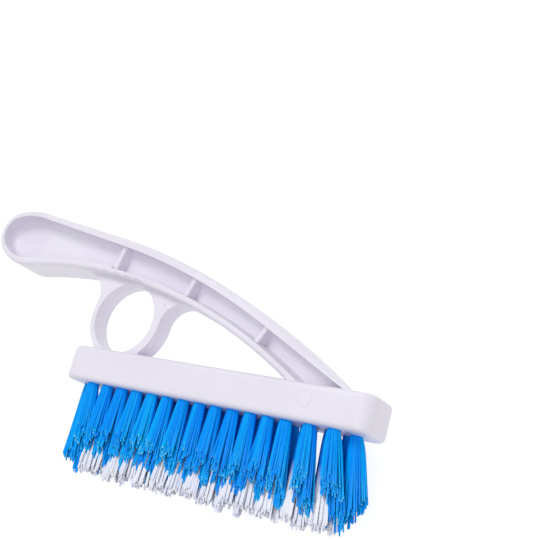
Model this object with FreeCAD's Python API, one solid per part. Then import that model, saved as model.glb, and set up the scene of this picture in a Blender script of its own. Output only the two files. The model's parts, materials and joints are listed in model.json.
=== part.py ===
import FreeCAD, Part
import math
import os

from FreeCAD import Vector

# Grout brush lying on its back, in millimetres.
# X runs along the tuft block, +Y points to the handle, the bristles point to -Y and +Z is up.
# The origin is the centre of the block's flat back face, on which the brush rests.

# Tuft block
block_length = 136.0
block_height = 13.8
block_depth = 19.8
block_corner_radius = 5.0
block_edge_radius = 2.0

# Tuft holes: a front row that widens its pitch at one end, the same row turned end for end at the back,
# and a middle row staggered against the front row, with one more tuft at each of its ends
tuft_pitch = 7.47
wide_pitch = 9.55
wide_step_count = 2
row_end_margin = 13.3
row_spacing = 5.4
end_tuft_step = 6.25
hole_radius = 2.3
hole_depth = 9.0

# Bristle tufts, trimmed to a wedge
tuft_clearance = 0.1
tuft_tip_radius = 2.6
wedge_length = 34.0
wedge_side_length = 18.0
wedge_end_length = 22.0
left_lean_degrees = 2.0
middle_lean_degrees = 3.0
right_lean_degrees = 10.0

# Steel anchor strips that hold the folded filaments in the holes
anchor_bite = 0.4
anchor_height = 2.0
anchor_thickness = 0.4
anchor_floor_gap = 0.8

# Handle, seen from its open side
handle_inset = 1.3
nose_reach = 54.2
nose_rise = 45.6
nose_radius = 10.3
brow_radius = 33.8
brow_rise = 2.4
tail_length = 46.8
tail_degrees = 10.0
arch_radius = 310.0
heel_degrees = 43.5
crown_reach = 19.4
crown_rise = 32.6
underside_radius = 232.5
foot_blend_radius = 9.0
foot_sink = 2.0
handle_edge_radius = 1.5

# Channels in both sides of the handle, parted by cross ribs
end_rim_width = 2.6
upper_rim_width = 3.4
lower_rim_width = 3.3
channel_rim_width = 2.6
web_thickness = 2.4
channel_floor_radius = 2.8
lower_wall_draft = 1.0
rib_count = 3
rib_spacing = 41.5
first_rib_run = 4.1
rib_thickness = 2.4
rib_setback = 1.8
rib_edge_radius = 1.0

# Finger ring between the handle and the block
ring_bore_radius = 14.65
ring_wall = 2.85
ring_outside_shift = 0.7
ring_depth = 8.4
ring_place = 16.6
ring_lift = 0.05
left_web_radius = 11.0
right_web_radius = 9.0
ring_foot_radius = 1.0

# How far a cutting shape runs past the face it opens, and how close a matched edge lies
cut_overrun = 1.0
edge_match = 0.05

# Places that follow from the sizes above
block_top = block_height / 2
block_underside = -block_height / 2
middle_depth = block_depth / 2
handle_back = handle_inset
handle_front = block_depth - handle_inset
tail_angle = math.radians(tail_degrees)
heel_angle = math.radians(heel_degrees)
tail_normal = Vector(math.sin(tail_angle), math.cos(tail_angle), 0)
tail_heading = Vector(math.cos(tail_angle), -math.sin(tail_angle), 0)
heel_heading = Vector(math.cos(heel_angle), math.sin(heel_angle), 0)
nose_centre = Vector(-block_length / 2 - nose_reach, block_top + nose_rise, 0)
brow_drop = brow_radius - nose_radius - brow_rise
brow_step = math.sqrt((brow_radius - nose_radius) ** 2 - brow_drop ** 2)
brow_centre = nose_centre + tail_heading * brow_step - tail_normal * brow_drop
arch_centre = brow_centre + tail_heading * tail_length - tail_normal * (arch_radius - brow_radius)
underside_centre = Vector(-block_length / 2 - crown_reach, block_top + crown_rise - underside_radius, 0)
sunk_level = block_top - foot_sink
ring_centre = Vector(ring_place - block_length / 2, block_top + ring_lift + ring_bore_radius, 0)
ring_outside_centre = ring_centre + Vector(ring_outside_shift, 0, 0)
ring_outer_radius = ring_bore_radius + ring_wall
wide_run = wide_pitch * wide_step_count
even_step_count = round((block_length - 2 * row_end_margin - wide_run) / tuft_pitch)
row_start = row_end_margin - block_length / 2
row_end = row_start + tuft_pitch * even_step_count + wide_run


def box_between(low, high):
    size = high - low
    return Part.makeBox(size.x, size.y, size.z, low)


def short_arc(centre, start, end):
    """Arc from start to end round centre, the shorter way."""
    middle_ray = (start - centre) + (end - centre)
    middle_ray.normalize()
    middle = centre + middle_ray * (start - centre).Length
    return Part.Arc(start, middle, end).toShape()


def toward(start, target, distance):
    """Point at a distance from start on the ray to target."""
    ray = target - start
    return start + ray * (distance / ray.Length)


def line_over_circles(first_centre, first_radius, second_centre, second_radius):
    """Ends of the straight line that lies on two circles, on the upper side."""
    span = second_centre - first_centre
    axis = span * (1 / span.Length)
    lean = (first_radius - second_radius) / span.Length
    normal = axis * lean + Vector(-axis.y, axis.x, 0) * math.sqrt(1 - lean ** 2)
    return first_centre + normal * first_radius, second_centre + normal * second_radius


def raised(edges, level, height):
    """Solid of the given height on a flat closed outline, starting at the given level."""
    face = Part.Face(Part.Wire(edges))
    face.translate(Vector(0, 0, level))
    return face.extrude(Vector(0, 0, height))


def on_circle_right_of_centre(centre, radius, level):
    """Point of a circle at a Y level, on its +X side."""
    rise = level - centre.y
    return Vector(centre.x + math.sqrt(radius ** 2 - rise ** 2), level, 0)


def edges_at_level(solid, level, outline_edges):
    """Edges of a raised solid that lie over the given outline edges at one Z level."""
    found = []
    for edge in solid.Edges:
        middle = edge.valueAt((edge.FirstParameter + edge.LastParameter) / 2)
        if abs(middle.z - level) > edge_match:
            continue
        flat_point = Part.Vertex(Vector(middle.x, middle.y, 0))
        if min(flat_point.distToShape(outline)[0] for outline in outline_edges) < edge_match:
            found.append(edge)
    return found


# Tuft block: a long bar with rounded ends and softened edges
def make_block():
    half = Vector(block_length / 2, block_height / 2, 0)
    bar = box_between(-half, half + Vector(0, 0, block_depth))
    upright = [e for e in bar.Edges if e.tangentAt(e.FirstParameter).cross(Vector(0, 1, 0)).Length == 0]
    bar = bar.makeFillet(block_corner_radius, upright)
    level_edges = []
    for edge in bar.Edges:
        low, high = edge.BoundBox.YMin, edge.BoundBox.YMax
        if high - low < block_edge_radius and max(abs(low), abs(high)) > block_height / 2 - block_edge_radius:
            level_edges.append(edge)
    return bar.makeFillet(block_edge_radius, level_edges)


# Handle: a beam with a rounded end, a straight tail, an arch and a foot on the block
def handle_outline(end_rim, upper_rim, lower_rim):
    """Smooth edges from the foot's underside round the free end to the arch, drawn in by rim widths."""
    nose = nose_radius - end_rim
    brow = brow_radius - end_rim
    underside = underside_radius + lower_rim
    tail_start, tail_end = line_over_circles(brow_centre, brow, arch_centre, arch_radius - upper_rim)
    nose_end = toward(brow_centre, nose_centre, brow)
    away = nose_centre - underside_centre
    reach = nose + underside
    heel_step = (away.dot(away) - reach ** 2) / (2 * (reach - away.dot(heel_heading)))
    heel_centre = nose_centre + heel_heading * heel_step
    heel_start = nose_centre - heel_heading * nose
    heel_end = toward(underside_centre, heel_centre, underside)
    underside_end = on_circle_right_of_centre(underside_centre, underside, sunk_level)
    edges = [
        short_arc(underside_centre, underside_end, heel_end),
        short_arc(heel_centre, heel_end, heel_start),
        short_arc(nose_centre, heel_start, nose_end),
        short_arc(brow_centre, nose_end, tail_start),
        Part.makeLine(tail_start, tail_end),
    ]
    return edges, tail_end, underside_end


def make_beam():
    edges, tail_end, underside_end = handle_outline(0, 0, 0)
    blend_level = block_top + foot_blend_radius
    blend_centre = on_circle_right_of_centre(arch_centre, arch_radius + foot_blend_radius, blend_level)
    arch_end = toward(arch_centre, blend_centre, arch_radius)
    foot_edge = Vector(blend_centre.x, block_top, 0)
    foot_corner = Vector(blend_centre.x, sunk_level, 0)
    arch = short_arc(arch_centre, tail_end, arch_end)
    blend = short_arc(blend_centre, arch_end, foot_edge)
    toe = Part.makeLine(foot_edge, foot_corner)
    sole = Part.makeLine(foot_corner, underside_end)
    beam = raised(edges + [arch, blend, toe, sole], handle_back, handle_front - handle_back)
    smooth = edges + [arch, blend]
    rims = edges_at_level(beam, handle_back, smooth) + edges_at_level(beam, handle_front, smooth)
    return beam.makeFillet(handle_edge_radius, rims)


def rib_angle(place):
    """Angle on the arch, from straight up, at which a cross rib stands."""
    return tail_angle + (first_rib_run + place * rib_spacing) / arch_radius


def turned_to_rib(shape, place):
    """Shape drawn over the arch's centre, turned round it to a rib's place."""
    shape.rotate(Vector(0, 0, 0), Vector(0, 0, 1), -math.degrees(rib_angle(place)))
    shape.translate(arch_centre)
    return shape


def rib_bar(place):
    """Cross rib with a rounded top that stands square to the arch, kept out of the channel cut."""
    low = Vector(-rib_thickness / 2, arch_radius - nose_rise, middle_depth)
    high = Vector(rib_thickness / 2, arch_radius, handle_front - rib_setback)
    bar = box_between(low, high)
    top_edges = []
    for edge in bar.Edges:
        if edge.BoundBox.ZMin > high.z - edge_match and edge.BoundBox.YLength > rib_thickness:
            top_edges.append(edge)
    return turned_to_rib(bar.makeFillet(rib_edge_radius, top_edges), place)


def channel_space(floor, lower_rim):
    """Upright cutting shape over the channel's floor, with the outlines of its free end and its upper wall.

    The upper wall follows the arch to the last rib and runs straight to the foot from there.
    """
    edges, tail_end, underside_end = handle_outline(end_rim_width, upper_rim_width, lower_rim)
    angle = rib_angle(rib_count - 1)
    arch_end = arch_centre + Vector(math.sin(angle), math.cos(angle), 0) * (arch_radius - upper_rim_width)
    straight_run = (arch_end.y - sunk_level) / math.sin(angle)
    straight_end = arch_end + Vector(math.cos(angle), -math.sin(angle), 0) * straight_run
    upper_wall = [short_arc(arch_centre, tail_end, arch_end), Part.makeLine(arch_end, straight_end)]
    sole = Part.makeLine(straight_end, underside_end)
    space = raised(edges + upper_wall + [sole], floor, handle_front - floor + cut_overrun)
    return space, edges, upper_wall


def make_channel():
    """Cutting shape of the channel in the front of the handle.

    Its floor is rounded into all the walls of the pocket before the first rib. After that rib it is rounded
    into the upper wall alone, the lower wall slopes and the lower rim is narrower.
    """
    floor = middle_depth + web_thickness / 2
    beyond = turned_to_rib(box_between(Vector(0, 0, 0), Vector(arch_radius, 2 * arch_radius, block_depth)), 0)
    space, edges, upper_wall = channel_space(floor, lower_rim_width)
    pocket = space.cut(beyond)
    pocket = pocket.makeFillet(channel_floor_radius, edges_at_level(pocket, floor, edges + upper_wall))
    space, edges, upper_wall = channel_space(floor, channel_rim_width)
    wall_radius = underside_radius + channel_rim_width
    wall_foot = underside_centre + Vector(0, 0, floor)
    slope = Part.makeCone(wall_radius + lower_wall_draft, wall_radius, handle_front - floor, wall_foot)
    channel = space.common(beyond).cut(slope)
    channel = channel.makeFillet(channel_floor_radius, edges_at_level(channel, floor, upper_wall))
    channel = channel.fuse(pocket)
    for place in range(rib_count):
        channel = channel.cut(rib_bar(place))
    return channel


def make_handle():
    channel = make_channel()
    back_channel = channel.mirror(Vector(0, 0, middle_depth), Vector(0, 0, 1))
    return make_beam().cut(channel).cut(back_channel)


# Finger ring: a short tube with webs up to the handle and small feet on the block
def web_to_handle(radius, side):
    """Flared web between the ring and the handle's underside, on the given X side."""
    away = underside_centre - ring_outside_centre
    span = away.Length
    ring_reach = ring_outer_radius + radius
    underside_reach = underside_radius - radius
    along = (ring_reach ** 2 - underside_reach ** 2 + span ** 2) / (2 * span)
    across = math.sqrt(ring_reach ** 2 - along ** 2)
    axis = away * (1 / span)
    crosswise = Vector(-axis.y, axis.x, 0) * side
    flare_centre = ring_outside_centre + axis * along + crosswise * across
    on_ring = toward(ring_outside_centre, flare_centre, ring_outer_radius)
    on_handle = toward(underside_centre, flare_centre, underside_radius)
    in_handle = toward(underside_centre, flare_centre, underside_radius + lower_rim_width / 2)
    above_level = math.sqrt(underside_radius ** 2 - (ring_outside_centre.x - underside_centre.x) ** 2)
    above = Vector(ring_outside_centre.x, underside_centre.y + above_level + lower_rim_width / 2, 0)
    return [
        short_arc(flare_centre, on_ring, on_handle),
        Part.makeLine(on_handle, in_handle),
        Part.makeLine(in_handle, above),
        Part.makeLine(above, ring_outside_centre),
        Part.makeLine(ring_outside_centre, on_ring),
    ]


def foot_on_block(side):
    """Small flared foot between the ring and the top of the block, on the given X side."""
    level = block_top + ring_foot_radius
    ring_reach = ring_outer_radius + ring_foot_radius
    step = math.sqrt(ring_reach ** 2 - (ring_outside_centre.y - level) ** 2)
    flare_centre = Vector(ring_outside_centre.x + side * step, level, 0)
    on_ring = toward(ring_outside_centre, flare_centre, ring_outer_radius)
    on_block = Vector(flare_centre.x, block_top, 0)
    in_block = Vector(flare_centre.x, sunk_level, 0)
    below = Vector(ring_outside_centre.x, sunk_level, 0)
    return [
        short_arc(flare_centre, on_ring, on_block),
        Part.makeLine(on_block, in_block),
        Part.makeLine(in_block, below),
        Part.makeLine(below, ring_outside_centre),
        Part.makeLine(ring_outside_centre, on_ring),
    ]


def make_ring():
    ring_back = middle_depth - ring_depth / 2
    ring = Part.makeCylinder(ring_outer_radius, ring_depth, ring_outside_centre + Vector(0, 0, ring_back))
    outlines = [web_to_handle(left_web_radius, -1), web_to_handle(right_web_radius, 1)]
    outlines += [foot_on_block(-1), foot_on_block(1)]
    pieces = [raised(outline, ring_back, ring_depth) for outline in outlines]
    return ring.fuse(pieces)


def make_ring_bore():
    ring_back = middle_depth - ring_depth / 2
    return Part.makeCylinder(ring_bore_radius, ring_depth, ring_centre + Vector(0, 0, ring_back))


# Tufts: bundles of filaments folded into the holes and trimmed to a wedge
def lean_at(place):
    """Lean of a tuft towards +X, which grows to the right end."""
    share = 2 * place / block_length
    bend = (left_lean_degrees + right_lean_degrees) / 2 - middle_lean_degrees
    slope = (right_lean_degrees - left_lean_degrees) / 2
    return math.radians(middle_lean_degrees + slope * share + bend * share ** 2)


def level_circle(radius, x, y, z):
    circle = Part.makeCircle(radius, Vector(x, y, z), Vector(0, 1, 0))
    return Part.Wire([circle])


def wedge_space():
    """Space inside the wedge trim, which falls away to both sides and to both ends."""
    half_length = block_length / 2
    apex = block_underside - wedge_length
    side_level = block_underside - wedge_side_length
    side_depth = row_spacing + tuft_tip_radius
    side_points = [
        Vector(-block_length, block_top, middle_depth - side_depth),
        Vector(-block_length, side_level, middle_depth - side_depth),
        Vector(-block_length, apex, middle_depth),
        Vector(-block_length, side_level, middle_depth + side_depth),
        Vector(-block_length, block_top, middle_depth + side_depth),
    ]
    side_points.append(side_points[0])
    side_space = Part.Face(Part.makePolygon(side_points)).extrude(Vector(2 * block_length, 0, 0))
    end_level = block_underside - wedge_end_length
    end_points = [
        Vector(-half_length, block_top, 0),
        Vector(-half_length, end_level, 0),
        Vector(row_start, apex, 0),
        Vector(row_end + end_tuft_step, apex, 0),
        Vector(half_length + tuft_tip_radius, end_level, 0),
        Vector(half_length + tuft_tip_radius, block_top, 0),
    ]
    end_points.append(end_points[0])
    end_space = Part.Face(Part.makePolygon(end_points)).extrude(Vector(0, 0, block_depth))
    return side_space.common(end_space)


def anchor_at(place, depth):
    """Flat strip across the bottom of a hole, biting into its wall at both ends."""
    half_length = hole_radius + anchor_bite
    top = block_underside + hole_depth - anchor_floor_gap
    low = Vector(place - half_length, top - anchor_height, depth - anchor_thickness / 2)
    high = Vector(place + half_length, top, depth + anchor_thickness / 2)
    return box_between(low, high)


def hole_at(place, depth):
    mouth = Vector(place, block_underside - cut_overrun, depth)
    return Part.makeCylinder(hole_radius, hole_depth + cut_overrun, mouth, Vector(0, 1, 0))


def tuft_at(place, depth, trim):
    root_radius = hole_radius - tuft_clearance
    tip_place = place + wedge_length * math.tan(lean_at(place))
    root = level_circle(root_radius, place, block_underside + hole_depth - tuft_clearance, depth)
    mouth = level_circle(root_radius, place, block_underside, depth)
    tip = level_circle(tuft_tip_radius, tip_place, block_underside - wedge_length, depth)
    bundle = Part.makeLoft([root, mouth, tip], True, True)
    return bundle.common(trim).cut(anchor_at(place, depth))


def front_places():
    steps = [tuft_pitch] * even_step_count + [wide_pitch] * wide_step_count
    places = [row_start]
    for step in steps:
        places.append(places[-1] + step)
    return places


# Every tuft by name, with its place along the block and its depth
front_depth = middle_depth + row_spacing
back_depth = middle_depth - row_spacing
front_row = []
back_row = []
middle_row = []
places = front_places()
for number, place in enumerate(places, start=1):
    front_row.append((f"front_blue_tuft_{number:02d}", place, front_depth))
for number, place in enumerate(reversed(places), start=1):
    back_row.append((f"back_blue_tuft_{number:02d}", -place, back_depth))
for number, place in enumerate(places[1:], start=1):
    middle_row.append((f"middle_white_tuft_{number:02d}", place - tuft_pitch / 2, middle_depth))
middle_row.append(("left_end_blue_tuft", row_start - end_tuft_step, middle_depth))
middle_row.append(("right_end_blue_tuft", row_end + end_tuft_step, middle_depth))
rows = {"front_row_anchors": front_row, "middle_row_anchors": middle_row, "back_row_anchors": back_row}


# One moulding: block, handle and ring in one piece, then bored and drilled
def make_body():
    body = make_block().fuse([make_handle(), make_ring()]).cut(make_ring_bore())
    cuts = []
    for row in rows.values():
        for name, place, depth in row:
            cuts.append(hole_at(place, depth))
            cuts.append(anchor_at(place, depth))
    return body.cut(cuts).removeSplitter()


os.makedirs("parts", exist_ok=True)
make_body().exportStep("parts/moulded_body.step")
trim = wedge_space()
for anchors_name, row in rows.items():
    for name, place, depth in row:
        tuft_at(place, depth, trim).exportStep(f"parts/{name}.step")
    anchors = Part.makeCompound([anchor_at(place, depth) for name, place, depth in row])
    anchors.exportStep(f"parts/{anchors_name}.step")
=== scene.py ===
import json
import math
import random

import bmesh
import bpy
import numpy as np
from mathutils import Matrix, Vector


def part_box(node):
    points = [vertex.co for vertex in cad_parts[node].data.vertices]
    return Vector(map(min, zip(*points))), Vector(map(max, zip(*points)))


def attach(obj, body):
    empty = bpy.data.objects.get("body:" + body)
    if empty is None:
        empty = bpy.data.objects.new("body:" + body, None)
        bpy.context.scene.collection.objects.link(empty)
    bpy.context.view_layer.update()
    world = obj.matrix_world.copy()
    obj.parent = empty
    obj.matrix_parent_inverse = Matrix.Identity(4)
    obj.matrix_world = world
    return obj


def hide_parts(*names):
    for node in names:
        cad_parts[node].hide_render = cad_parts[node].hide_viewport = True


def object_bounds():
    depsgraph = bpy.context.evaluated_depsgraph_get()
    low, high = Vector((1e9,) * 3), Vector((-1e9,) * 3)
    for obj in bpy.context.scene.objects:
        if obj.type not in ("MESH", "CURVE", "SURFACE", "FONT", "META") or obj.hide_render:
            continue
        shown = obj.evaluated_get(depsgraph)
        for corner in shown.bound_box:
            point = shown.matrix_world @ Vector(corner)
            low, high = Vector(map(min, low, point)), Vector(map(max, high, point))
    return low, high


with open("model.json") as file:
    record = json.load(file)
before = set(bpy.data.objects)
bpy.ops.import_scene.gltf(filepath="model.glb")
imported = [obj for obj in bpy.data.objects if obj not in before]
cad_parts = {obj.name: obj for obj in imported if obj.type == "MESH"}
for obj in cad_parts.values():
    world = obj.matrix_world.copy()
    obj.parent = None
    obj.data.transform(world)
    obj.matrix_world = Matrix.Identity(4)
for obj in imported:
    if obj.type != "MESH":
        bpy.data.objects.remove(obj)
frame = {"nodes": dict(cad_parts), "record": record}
cad_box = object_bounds()

# Moulded body: tuft block, finger ring and channelled handle in one piece of white polypropylene.
# It is injected in a two-part mould, so its skin is satin with a fine grain and a faintly cloudy white.
mm = 0.001
noise_low = 0.3
noise_high = 0.7


def screen(red, green, blue):
    """Colour for a shader from a screen colour in steps of 0 to 255."""
    steps = [step / 255 for step in (red, green, blue)]
    linear = [s / 12.92 if s <= 0.04045 else ((s + 0.055) / 1.055) ** 2.4 for s in steps]
    return (*linear, 1.0)


def new_finish(name):
    """Material with its node tree and its Principled shader."""
    finish = bpy.data.materials.new(name)
    finish.use_nodes = True
    return finish, finish.node_tree, finish.node_tree.nodes["Principled BSDF"]


def cloud(tree, size, detail, stretch=(1, 1, 1)):
    """Noise fixed to the object with lumps of the given size, drawn out along an axis by stretch."""
    place = tree.nodes.new("ShaderNodeTexCoord")
    mapping = tree.nodes.new("ShaderNodeMapping")
    mapping.inputs["Scale"].default_value = [1 / (size * length) for length in stretch]
    noise = tree.nodes.new("ShaderNodeTexNoise")
    noise.inputs["Scale"].default_value = 1
    noise.inputs["Detail"].default_value = detail
    tree.links.new(place.outputs["Object"], mapping.inputs["Vector"])
    tree.links.new(mapping.outputs["Vector"], noise.inputs["Vector"])
    return noise.outputs["Fac"]


def tones(tree, value, colours, socket):
    """Colours spread evenly over the range in which a noise value mostly lies."""
    ramp = tree.nodes.new("ShaderNodeValToRGB")
    stops = ramp.color_ramp.elements
    while len(stops) < len(colours):
        stops.new(0.5)
    for index, colour in enumerate(colours):
        stops[index].position = noise_low + (noise_high - noise_low) * index / (len(colours) - 1)
        stops[index].color = colour
    tree.links.new(value, ramp.inputs["Fac"])
    tree.links.new(ramp.outputs["Color"], socket)


def spread_to(tree, value, low, high, socket):
    """Noise value turned into a range of a shader's number."""
    band = tree.nodes.new("ShaderNodeMapRange")
    band.inputs["From Min"].default_value = noise_low
    band.inputs["From Max"].default_value = noise_high
    band.inputs["To Min"].default_value = low
    band.inputs["To Max"].default_value = high
    tree.links.new(value, band.inputs["Value"])
    tree.links.new(band.outputs["Result"], socket)


def relief(tree, value, height, strength, socket):
    """Fine relief of the given height from a noise value."""
    bump = tree.nodes.new("ShaderNodeBump")
    bump.inputs["Strength"].default_value = strength
    bump.inputs["Distance"].default_value = height
    tree.links.new(value, bump.inputs["Height"])
    tree.links.new(bump.outputs["Normal"], socket)


white_plastic, plastic_tree, plastic_skin = new_finish("white_plastic")
cloud_size = 24 * mm
grain_size = 0.45 * mm
grain_height = 0.03 * mm
grain_strength = 0.25
gloss_patch_size = 3 * mm
plastic_roughness = (0.36, 0.46)
plastic_specular = 0.45
plastic_whites = [screen(227, 224, 236), screen(230, 227, 238), screen(232, 230, 240)]
tones(plastic_tree, cloud(plastic_tree, cloud_size, 3), plastic_whites, plastic_skin.inputs["Base Color"])
gloss_patches = cloud(plastic_tree, gloss_patch_size, 4)
spread_to(plastic_tree, gloss_patches, *plastic_roughness, plastic_skin.inputs["Roughness"])
grain = cloud(plastic_tree, grain_size, 3)
relief(plastic_tree, grain, grain_height, grain_strength, plastic_skin.inputs["Normal"])
plastic_skin.inputs["Specular IOR Level"].default_value = plastic_specular

moulded_body = frame["nodes"]["moulded_body"]
moulded_body.data.materials.clear()
moulded_body.data.materials.append(white_plastic)

# Parting line: a hair of flash round the finger ring where the two mould halves met at mid depth.
# It follows the ring's own section, as a low bead of the same plastic.
line_width = 0.6 * mm
line_height = 0.18 * mm
line_sink = 0.06 * mm
line_sides = 5
ring_mount = next(mount for mount in frame["record"]["mounts"] if mount["name"] == "finger_ring")
ring_centre = Vector(ring_mount["pos_m"])
line_reach = 24 * mm
cut_margin = 8 * mm
weld_distance = 0.001 * mm
block_clearance = 0.4 * mm
block_top = -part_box("moulded_body")[0].y
line_floor = block_top + block_clearance


def mid_section(source, reach):
    """Mesh cut at the ring's mid depth, and the neighbours of each point of that cut near the ring."""
    cut = bmesh.new()
    cut.from_mesh(source.data)
    far = [f for f in cut.faces if (f.calc_center_median() - ring_centre).length > reach + cut_margin]
    bmesh.ops.delete(cut, geom=far, context="FACES")
    bmesh.ops.remove_doubles(cut, verts=cut.verts, dist=weld_distance)
    everything = cut.verts[:] + cut.edges[:] + cut.faces[:]
    found = bmesh.ops.bisect_plane(cut, geom=everything, plane_co=ring_centre, plane_no=(0, 0, 1), dist=0)
    cut.normal_update()
    edges = [e for e in found["geom_cut"] if isinstance(e, bmesh.types.BMEdge)]
    links = {}
    for edge in edges:
        if all((v.co - ring_centre).length < reach and v.co.y > line_floor for v in edge.verts):
            first, second = edge.verts
            links.setdefault(first, []).append(second)
            links.setdefault(second, []).append(first)
    return cut, links


def chains(links):
    """Runs of linked points, each with whether it closes on itself; an open run starts at one of its ends."""
    left = set(links)
    runs = []
    while left:
        ends = [v for v in left if len(links[v]) == 1]
        start = min(ends or left, key=lambda v: tuple(v.co))
        run = [start]
        left.discard(start)
        while True:
            onward = [v for v in links[run[-1]] if v in left]
            if not onward:
                break
            run.append(onward[0])
            left.discard(onward[0])
        closed = len(run) > 2 and run[0] in links[run[-1]]
        runs.append((run, closed))
    return runs


def bead_on(runs):
    """Low half-round bead along runs of points, sunk a little into the wall behind."""
    bead = bmesh.new()
    for run, closed in runs:
        rings = []
        for point in run:
            outward = Vector((point.normal.x, point.normal.y, 0)).normalized()
            ring = []
            for side in range(line_sides):
                angle = math.pi * side / (line_sides - 1)
                rise = outward * (math.sin(angle) * (line_height + line_sink) - line_sink)
                across = Vector((0, 0, math.cos(angle) * line_width / 2))
                ring.append(bead.verts.new(point.co + rise + across))
            rings.append(ring)
        pairs = list(zip(rings, rings[1:]))
        if closed:
            pairs.append((rings[-1], rings[0]))
        for here, there in pairs:
            for side in range(line_sides):
                following = (side + 1) % line_sides
                bead.faces.new((here[side], here[following], there[following], there[side]))
        if not closed:
            bead.faces.new(rings[0])
            bead.faces.new(reversed(rings[-1]))
    bmesh.ops.recalc_face_normals(bead, faces=bead.faces)
    return bead


def add_piece(name, shape, finishes):
    """New piece of the brush from a mesh or a bmesh, riding on the one body."""
    if isinstance(shape, bmesh.types.BMesh):
        mesh = bpy.data.meshes.new(name)
        shape.to_mesh(mesh)
        shape.free()
        mesh.polygons.foreach_set("use_smooth", [True] * len(mesh.polygons))
    else:
        mesh = shape
    for finish in finishes:
        mesh.materials.append(finish)
    piece = bpy.data.objects.new(name, mesh)
    bpy.context.scene.collection.objects.link(piece)
    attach(piece, "root")
    return piece


section, section_links = mid_section(moulded_body, line_reach)
add_piece("ring_parting_line", bead_on(chains(section_links)), [white_plastic])
section.free()

# Mould marks: the faint ring of an ejector pin on the block's front and the gate's stub on the ring's web.
# Both stand a hair above the skin, in the same plastic.
mark_steps = 48
mark_sink = 0.05 * mm
pin_mark_place = Vector((42.0 * mm, 1.1 * mm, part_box("moulded_body")[1].z))
pin_mark_profile = [(2.65 * mm, -mark_sink), (2.9 * mm, 0.06 * mm), (3.1 * mm, 0.06 * mm),
                    (3.35 * mm, -mark_sink)]
gate_place = ring_centre + Vector((18.0 * mm, 8.1 * mm, ring_mount["dims"]["length_mm"] / 2 * mm))
gate_profile = [(0.02 * mm, -mark_sink), (0.75 * mm, -mark_sink), (0.65 * mm, 0.15 * mm),
                (0.35 * mm, 0.28 * mm), (0.02 * mm, 0.2 * mm)]


def turned_mark(place, profile):
    """Closed ring turned from a profile of radii and rises about an upright axis."""
    mark = bmesh.new()
    rings = []
    for step in range(mark_steps):
        angle = 2 * math.pi * step / mark_steps
        ray = Vector((math.cos(angle), math.sin(angle), 0))
        points = [place + ray * radius + Vector((0, 0, rise)) for radius, rise in profile]
        rings.append([mark.verts.new(point) for point in points])
    for here, there in zip(rings, rings[1:] + rings[:1]):
        for side in range(len(profile)):
            following = (side + 1) % len(profile)
            mark.faces.new((here[side], here[following], there[following], there[side]))
    bmesh.ops.recalc_face_normals(mark, faces=mark.faces)
    return mark


add_piece("ejector_pin_mark", turned_mark(pin_mark_place, pin_mark_profile), [white_plastic])
add_piece("gate_stub", turned_mark(gate_place, gate_profile), [white_plastic])

# Steel anchors: flat strips across the bottoms of the tuft holes, round which the filaments are folded.
# They are cut from drawn wire, so the steel is bright with fine lines along its length.
anchor_steel, steel_tree, steel_skin = new_finish("anchor_steel")
steel_greys = [screen(150, 150, 154), screen(176, 176, 180)]
drawn_line_size = 0.2 * mm
gloss_line_size = 0.3 * mm
along_strip = (12, 1, 1)
steel_roughness = (0.25, 0.45)
drawn_lines = cloud(steel_tree, drawn_line_size, 2, along_strip)
tones(steel_tree, drawn_lines, steel_greys, steel_skin.inputs["Base Color"])
gloss_lines = cloud(steel_tree, gloss_line_size, 2, along_strip)
spread_to(steel_tree, gloss_lines, *steel_roughness, steel_skin.inputs["Roughness"])
steel_skin.inputs["Metallic"].default_value = 1.0
for row in ("front_row_anchors", "middle_row_anchors", "back_row_anchors"):
    frame["nodes"][row].data.materials.clear()
    frame["nodes"][row].data.materials.append(anchor_steel)

# Blue tufts: bundles of straight nylon filaments, each folded in half over its anchor and trimmed to a wedge.
# The halves part below the block, break into strands and splay, and the trim leaves cut ends, which are given
# paler painted highlight tones.
filament_radius = 0.33 * mm
filament_count = 78
filament_sides = 6
bundle_radius = 1.8 * mm
fold_gap = 0.3 * mm
fold_parting = 0.35 * mm
fold_turn_degrees = 40
fold_turn_spread = 14
strand_count = 9
strand_middle_share = 0.62
strand_splay = 0.7
strand_loosening = 0.3
strand_drift = 0.35 * mm
strand_unevenness = 0.8 * mm
filament_drift = 0.25 * mm
filament_unevenness = 0.5 * mm
stray_share = 0.025
stray_drift = 2.0 * mm
root_swell = 0.26
roomy_swell = 0.65
swell_reach = 3.0 * mm
splay_reach = 28 * mm
splay_power = 1.4
column_share = 0.85
column_turn = 0.5
column_reach = 17 * mm
slope_share = 0.88
slope_rise = 0.2
trim_length = 34 * mm
side_trim_length = 18 * mm
side_trim_reach = 8.0 * mm
end_trim_length = 22 * mm
cut_slant_share = 0.5
cut_turn = 0.4
cut_reach_radii = 4
hole_grip = 5.5 * mm
root_face_depth = 0.1 * mm
level_shares = (0.0, 0.1, 0.2, 0.4, 0.6, 0.8, 1.0)

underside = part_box("moulded_body")[0].y
middle_depth = ring_centre.z


def root_of(node):
    """Middle of the round face where a tuft ends at the bottom of its hole."""
    points = np.array([vertex.co for vertex in frame["nodes"][node].data.vertices])
    face = points[points[:, 1] > points[:, 1].max() - root_face_depth]
    return Vector((face.min(0) + face.max(0)) / 2)


right_end = root_of("right_end_blue_tuft").x
left_slope_start = root_of("front_blue_tuft_01").x
left_slope_run = 13.3 * mm
right_slope_run = 10.3 * mm


def trimmed_length(place, slant_share):
    """Free length that the wedge trim leaves at a place under the block, with a share of its slant."""
    side = slant_share * abs(place.z - middle_depth) / side_trim_reach
    length = trim_length - (trim_length - side_trim_length) * side
    left = max(0, left_slope_start - place.x) / left_slope_run
    right = max(0, place.x - right_end) / right_slope_run
    return min(length, trim_length - (trim_length - end_trim_length) * max(left, right))


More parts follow.
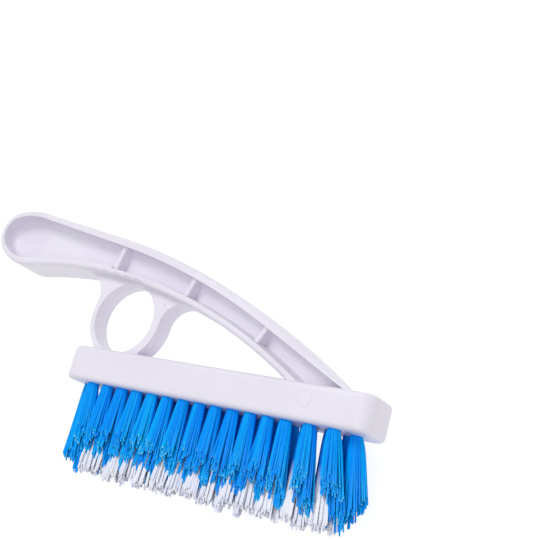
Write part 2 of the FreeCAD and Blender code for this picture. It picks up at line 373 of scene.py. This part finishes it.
def strands_of(draw):
    """Strands that a tuft breaks into: the middle, drift, extra length and tone of each."""
    strands = []
    for number in range(strand_count):
        angle = 2 * math.pi * (number + 0.5) / strand_count
        middle = Vector((math.cos(angle), 0, math.sin(angle))) * (strand_middle_share * bundle_radius)
        drift = Vector((draw.gauss(0, strand_drift), 0, draw.gauss(0, strand_drift)))
        strands.append((middle, drift, draw.gauss(0, strand_unevenness), draw.random()))
    return strands


def filaments_of(node, lean_degrees, swell_share, slant_share, draw):
    """Centre lines of a tuft's filaments from the hole to their cut ends, each with its tone and side."""
    root = root_of(node)
    mouth = Vector((root.x, underside, root.z))
    lean = math.tan(math.radians(lean_degrees))
    turn = math.radians(draw.gauss(fold_turn_degrees, fold_turn_spread))
    fold_normal = Vector((-math.sin(turn), 0, math.cos(turn)))
    golden_turn = math.pi * (3 - math.sqrt(5))
    strands = strands_of(draw)
    lines = []
    for index in range(filament_count):
        radius = bundle_radius * math.sqrt((index + 0.5) / filament_count)
        angle = index * golden_turn % (2 * math.pi)
        own = Vector((math.cos(angle), 0, math.sin(angle))) * radius
        middle, strand_way, extra, strand_tone = strands[int(angle / (2 * math.pi) * strand_count)]
        half = fold_normal if own.dot(fold_normal) > 0 else -fold_normal
        drift = strand_way + Vector((draw.gauss(0, filament_drift), 0, draw.gauss(0, filament_drift)))
        if draw.random() < stray_share:
            drift += Vector((draw.gauss(0, stray_drift), 0, draw.gauss(0, stray_drift / 2)))

        def at_drop(drop):
            below = max(0, drop)
            bend = (below / splay_reach) ** splay_power
            swell = 1 + swell_share * (1 - math.exp(-below / swell_reach))
            spread = middle * (1 + strand_splay * bend) + (own - middle) * (1 + strand_loosening * bend)
            fold = half * (fold_gap / 2 + fold_parting * bend)
            return mouth + spread * swell + fold + drift * bend + Vector((lean * below, -drop, 0))

        length = trimmed_length(at_drop(trimmed_length(mouth + own, slant_share)), slant_share)
        length += extra + draw.gauss(0, filament_unevenness)
        line = [at_drop(-hole_grip)] + [at_drop(length * share) for share in level_shares]
        lines.append((line, (strand_tone + draw.random()) / 2, own.normalized()))
    return lines


def bundle_of(name, node, lean_degrees, swell_share, radius, draw, slant_share=1):
    """Mesh of one tuft: a closed six-sided tube for each filament, cut on the slant of the wedge.

    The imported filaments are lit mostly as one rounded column, so their normals lean to its outside. Lower
    down, those on the upper half of the brush lean to that side of the row, and so do their cut ends.
    """
    corners = [2 * math.pi * side / filament_sides for side in range(filament_sides)]
    rim = [Vector((math.cos(corner), 0, math.sin(corner))) * radius for corner in corners]
    slope = (trim_length - side_trim_length) / side_trim_reach * cut_slant_share
    points, normals, faces, cut_faces, cut_ways, tone, drop = [], [], [], [], [], [], []
    for line, own_tone, side_of_tuft in filaments_of(node, lean_degrees, swell_share, slant_share, draw):
        start = len(points)
        facing = 1 if line[0].z > middle_depth else 0
        side_of_row = Vector((0, slope_rise, facing)).normalized()
        row_share = slope_share * facing
        side_of_tuft = (side_of_tuft + Vector((0, 0, column_turn * facing))).normalized()
        lie = max(-1, min(1, (line[-1].z - middle_depth) / (cut_reach_radii * radius)))
        for place in line:
            points += [place + step for step in rim]
            packed = max(0, 1 - max(0, (underside - place.y) / column_reach) ** 2)
            held = side_of_tuft * (column_share * packed) + side_of_row * (row_share * (1 - packed))
            loose = 1 - column_share * packed - row_share * (1 - packed)
            normals += [held + step * (loose / radius) for step in rim]
            drop += [(underside - place.y) / trim_length] * filament_sides
        for number, step in enumerate(rim):
            points[len(points) - filament_sides + number].y += slope * lie * step.z
        tone += [own_tone] * (len(line) * filament_sides)
        for level in range(len(line) - 1):
            for side in range(filament_sides):
                here = start + level * filament_sides + side
                beside = start + level * filament_sides + (side + 1) % filament_sides
                faces.append((here, beside, beside + filament_sides, here + filament_sides))
        faces.append(tuple(start + side for side in reversed(range(filament_sides))))
        cut_faces.append(len(faces))
        turned = cut_turn * facing
        cut_ways.append((side_of_row * turned + Vector((0, turned - 1, 0))).normalized())
        end = start + (len(line) - 1) * filament_sides
        faces.append(tuple(end + side for side in range(filament_sides)))
    mesh = bpy.data.meshes.new(name)
    mesh.from_pydata(points, [], faces)
    mesh.polygons.foreach_set("use_smooth", [len(face) == 4 for face in faces])
    slots = np.zeros(len(faces), dtype=np.int32)
    slots[cut_faces] = 1
    mesh.polygons.foreach_set("material_index", slots)
    mesh.attributes.new("tone", "FLOAT", "POINT").data.foreach_set("value", tone)
    mesh.attributes.new("drop", "FLOAT", "POINT").data.foreach_set("value", drop)
    mesh.update()
    corner_points = np.concatenate([np.array(face) for face in faces])
    corner_normals = np.array([normal.normalized() for normal in normals])[corner_points]
    corner_normals[np.repeat([len(face) != 4 for face in faces], [len(face) for face in faces])] = 0
    own_corners = len(corner_normals) // filament_count
    for number, cut_way in enumerate(cut_ways, start=1):
        corner_normals[number * own_corners - filament_sides:number * own_corners] = cut_way
    mesh.normals_split_custom_set(corner_normals.tolist())
    return mesh


streak_size = 0.25 * mm
streak_stretch = (1, 40, 1)
own_tone_share = 0.5
# The drops, as shares of the trim length, between which the painted blue shade at a root fades out.
painted_shade_drops = (0.35, 0.65)
gloss_streak_size = 0.6 * mm
gloss_streak_stretch = (1, 8, 1)
filament_roughness = (0.26, 0.38)


def filament_finish(name, colours, specular, painted_shade_tint=(1, 1, 1, 1)):
    """Extruded nylon: a tone for each filament, fine lines drawn along it and a painted shade multiplied in
    towards its root.
    """
    factor, first_colour, second_colour, mixed_colour = 0, 6, 7, 2
    finish, tree, skin = new_finish(name)
    own_tone = tree.nodes.new("ShaderNodeAttribute")
    own_tone.attribute_name = "tone"
    streak = cloud(tree, streak_size, 2, streak_stretch)
    mixed = tree.nodes.new("ShaderNodeMath")
    mixed.operation = "MULTIPLY_ADD"
    mixed.inputs[1].default_value = own_tone_share
    tree.links.new(own_tone.outputs["Fac"], mixed.inputs[0])
    streak_part = tree.nodes.new("ShaderNodeMath")
    streak_part.operation = "MULTIPLY"
    streak_part.inputs[1].default_value = 1 - own_tone_share
    tree.links.new(streak, streak_part.inputs[0])
    tree.links.new(streak_part.outputs["Value"], mixed.inputs[2])
    # Painted shade: the filament's colour multiplied by a tint near its root, fading out with the drop.
    painted_shade_mix = tree.nodes.new("ShaderNodeMix")
    painted_shade_mix.data_type = "RGBA"
    painted_shade_mix.blend_type = "MULTIPLY"
    painted_shade_mix.inputs[second_colour].default_value = painted_shade_tint
    drop = tree.nodes.new("ShaderNodeAttribute")
    drop.attribute_name = "drop"
    painted_shade_fade = tree.nodes.new("ShaderNodeMapRange")
    painted_shade_fade.inputs["From Min"].default_value = painted_shade_drops[0]
    painted_shade_fade.inputs["From Max"].default_value = painted_shade_drops[1]
    painted_shade_fade.inputs["To Min"].default_value = 1
    painted_shade_fade.inputs["To Max"].default_value = 0
    tree.links.new(drop.outputs["Fac"], painted_shade_fade.inputs["Value"])
    tree.links.new(painted_shade_fade.outputs["Result"], painted_shade_mix.inputs[factor])
    tones(tree, mixed.outputs["Value"], colours, painted_shade_mix.inputs[first_colour])
    tree.links.new(painted_shade_mix.outputs[mixed_colour], skin.inputs["Base Color"])
    gloss_streaks = cloud(tree, gloss_streak_size, 2, gloss_streak_stretch)
    spread_to(tree, gloss_streaks, *filament_roughness, skin.inputs["Roughness"])
    skin.inputs["Specular IOR Level"].default_value = specular
    return finish


blue_side_specular = 0.08
cut_specular = 0.3
blue_sides = [screen(0, 140, 255), screen(0, 158, 255), screen(0, 178, 255)]
blue_filament = filament_finish("blue_filament", blue_sides, blue_side_specular)
# Cut ends: the sides' blue running into paler cyan tones, a painted highlight for the light the ends catch.
painted_blue_end_highlights = [screen(0, 160, 255), screen(0, 175, 255), screen(30, 195, 255), screen(130, 232, 255)]
blue_end_painted_highlight = filament_finish("blue_end_painted_highlight", painted_blue_end_highlights, cut_specular)

row_lean_degrees = [7.5, 2.5, 1.5, 1, 1, 1, 1.5, 2, 2.5, 3, 3.5, 4.5, 5, 8, 13]
left_end_lean_degrees = 6
right_end_lean_degrees = 14
blue_seed = 11
blue_tufts = []
for row in ("front", "back"):
    for number, lean_degrees in enumerate(row_lean_degrees, start=1):
        blue_tufts.append((f"{row}_blue_tuft_{number:02d}", lean_degrees))
blue_tufts += [("left_end_blue_tuft", left_end_lean_degrees), ("right_end_blue_tuft", right_end_lean_degrees)]
roomy_tufts = ["front_blue_tuft_14", "front_blue_tuft_15", "back_blue_tuft_01", "back_blue_tuft_02",
               "right_end_blue_tuft"]
for order, (node, lean_degrees) in enumerate(blue_tufts):
    name = node.replace("_tuft", "_filaments")
    swell = roomy_swell if node in roomy_tufts else root_swell
    draw = random.Random(blue_seed + order)
    tuft_mesh = bundle_of(name, node, lean_degrees, swell, filament_radius, draw)
    tuft = add_piece(name, tuft_mesh, [blue_filament, blue_end_painted_highlight])
    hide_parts(node)

# White tufts: the middle row, of the same nylon left white, anchored like the blue and trimmed flatter.
# At the ridge of the wedge their tips reach past the blue rows and show as a pale fringe. Near the block,
# closed in by the blue rows, their colour is multiplied by a painted blue shade that stands for the light
# they get through the blue filaments, fading out down the tuft.
white_side_specular = 0.3
white_sides = [screen(228, 233, 255), screen(242, 245, 255)]
# Cut ends a shade paler than the sides, a painted highlight for the light the ends catch.
painted_white_end_highlights = [screen(238, 241, 255), screen(246, 248, 255)]
# Painted blue shade on the white roots, standing for light that reaches them through the blue rows.
painted_blue_shade = screen(20, 140, 235)
white_filament = filament_finish("white_filament", white_sides, white_side_specular, painted_blue_shade)
white_end_painted_highlight = filament_finish("white_end_painted_highlight", painted_white_end_highlights, cut_specular)
white_filament_radius = 0.42 * mm
ridge_slant_share = 0.35
white_tuft_count = 14
white_seed = 211
for number in range(1, white_tuft_count + 1):
    node = f"middle_white_tuft_{number:02d}"
    lean_degrees = (row_lean_degrees[number - 1] + row_lean_degrees[number]) / 2
    name = node.replace("_tuft", "_filaments")
    draw = random.Random(white_seed + number)
    tuft_mesh = bundle_of(name, node, lean_degrees, root_swell, white_filament_radius, draw,
                          ridge_slant_share)
    tuft = add_piece(name, tuft_mesh, [white_filament, white_end_painted_highlight])
    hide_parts(node)

# Studio: a pale floor under the brush, on which it lies on its back, with a faint shadow.
# Seen straight on, floor and surround are plain white; the floor also throws soft light up at the brush.
floor_half = 3.0
floor_gap = 0.1 * mm
floor_mesh = bpy.data.meshes.new("floor")
floor_corners = [(x * floor_half, y * floor_half) for x, y in ((-1, -1), (1, -1), (1, 1), (-1, 1))]
floor_level = cad_box[0].z - floor_gap
floor_mesh.from_pydata([(x, y, floor_level) for x, y in floor_corners], [], [(0, 1, 2, 3)])
floor = bpy.data.objects.new("floor", floor_mesh)
bpy.context.scene.collection.objects.link(floor)


def seen_directly(tree):
    """1 for rays from the camera or by way of gloss or glass, and 0 for rays that carry light."""
    path = tree.nodes.new("ShaderNodeLightPath")
    shiny = tree.nodes.new("ShaderNodeMath")
    shiny.operation = "MAXIMUM"
    either = tree.nodes.new("ShaderNodeMath")
    either.operation = "MAXIMUM"
    tree.links.new(path.outputs["Is Glossy Ray"], shiny.inputs[0])
    tree.links.new(path.outputs["Is Transmission Ray"], shiny.inputs[1])
    tree.links.new(path.outputs["Is Camera Ray"], either.inputs[0])
    tree.links.new(shiny.outputs["Value"], either.inputs[1])
    return either.outputs["Value"]


def glowing_sheet(tree, glow, paper):
    """Pale sheet that gives off some light and throws back some of what falls on it."""
    light = tree.nodes.new("ShaderNodeEmission")
    light.inputs["Strength"].default_value = glow
    sheet = tree.nodes.new("ShaderNodeBsdfDiffuse")
    sheet.inputs["Color"].default_value = (paper, paper, paper, 1)
    both = tree.nodes.new("ShaderNodeAddShader")
    tree.links.new(light.outputs[0], both.inputs[0])
    tree.links.new(sheet.outputs[0], both.inputs[1])
    return both.outputs[0]


floor_light = {"glow": 0.56, "paper": 0.5}
floor_seen = {"glow": 0.86, "paper": 0.24}
floor_finish = bpy.data.materials.new("pale_floor")
floor_finish.use_nodes = True
floor_tree = floor_finish.node_tree
floor_tree.nodes.clear()
floor_choice = floor_tree.nodes.new("ShaderNodeMixShader")
floor_out = floor_tree.nodes.new("ShaderNodeOutputMaterial")
floor_tree.links.new(seen_directly(floor_tree), floor_choice.inputs[0])
floor_tree.links.new(glowing_sheet(floor_tree, **floor_light), floor_choice.inputs[1])
floor_tree.links.new(glowing_sheet(floor_tree, **floor_seen), floor_choice.inputs[2])
floor_tree.links.new(floor_choice.outputs[0], floor_out.inputs["Surface"])
floor_mesh.materials.append(floor_finish)

dome_strength = 0.5
dome_tint = (1.0, 0.98, 1.0, 1)
world = bpy.data.worlds.new("dome")
bpy.context.scene.world = world
world.use_nodes = True
dome_tree = world.node_tree
dome_tree.nodes.clear()
dome_light = dome_tree.nodes.new("ShaderNodeBackground")
dome_light.inputs["Color"].default_value = dome_tint
dome_light.inputs["Strength"].default_value = dome_strength
dome_seen = dome_tree.nodes.new("ShaderNodeBackground")
dome_seen.inputs["Color"].default_value = (1, 1, 1, 1)
dome_choice = dome_tree.nodes.new("ShaderNodeMixShader")
dome_out = dome_tree.nodes.new("ShaderNodeOutputWorld")
dome_tree.links.new(seen_directly(dome_tree), dome_choice.inputs[0])
dome_tree.links.new(dome_light.outputs[0], dome_choice.inputs[1])
dome_tree.links.new(dome_seen.outputs[0], dome_choice.inputs[2])
dome_tree.links.new(dome_choice.outputs[0], dome_out.inputs["Surface"])

lamp_distance = 0.9
lamp_target = Vector((-0.03, 0.0, 0.0))
lamps = [
    ("upper_lamp", Vector((-0.12, 0.5, 0.86)), 0.42, 2.95),
    ("lower_lamp", Vector((0.35, -0.3, 0.89)), 0.5, 1.9),
]
for name, direction, size, power in lamps:
    lamp_light = bpy.data.lights.new(name, "AREA")
    lamp_light.size = size
    lamp_light.energy = power
    lamp = bpy.data.objects.new(name, lamp_light)
    lamp.location = lamp_target + direction.normalized() * lamp_distance
    lamp.rotation_euler = (-direction).to_track_quat("-Z", "Y").to_euler()
    bpy.context.scene.collection.objects.link(lamp)

# Camera: over the brush's right end, on the bristle side, tilted so that the block falls to the right.
# Its place, direction and lens come from the edges, ring and tuft spacing in the photograph.
camera_place = Vector((0.20766, -0.05318, 0.31353))
camera_looks = Vector((-0.52925, 0.27178, -0.80376))
camera_up = Vector((-0.08299, 0.92619, 0.36782))
camera_lens = 65.6
camera_back = -camera_looks.normalized()
camera_right = camera_up.cross(camera_back).normalized()
camera_turn = Matrix((camera_right, camera_back.cross(camera_right), camera_back)).transposed()
camera_data = bpy.data.cameras.new("photo_camera")
camera_data.lens = camera_lens
camera = bpy.data.objects.new("photo_camera", camera_data)
camera.matrix_world = Matrix.Translation(camera_place) @ camera_turn.to_4x4()
bpy.context.scene.collection.objects.link(camera)
bpy.context.scene.camera = camera
bpy.context.scene.view_settings.view_transform = "Standard"
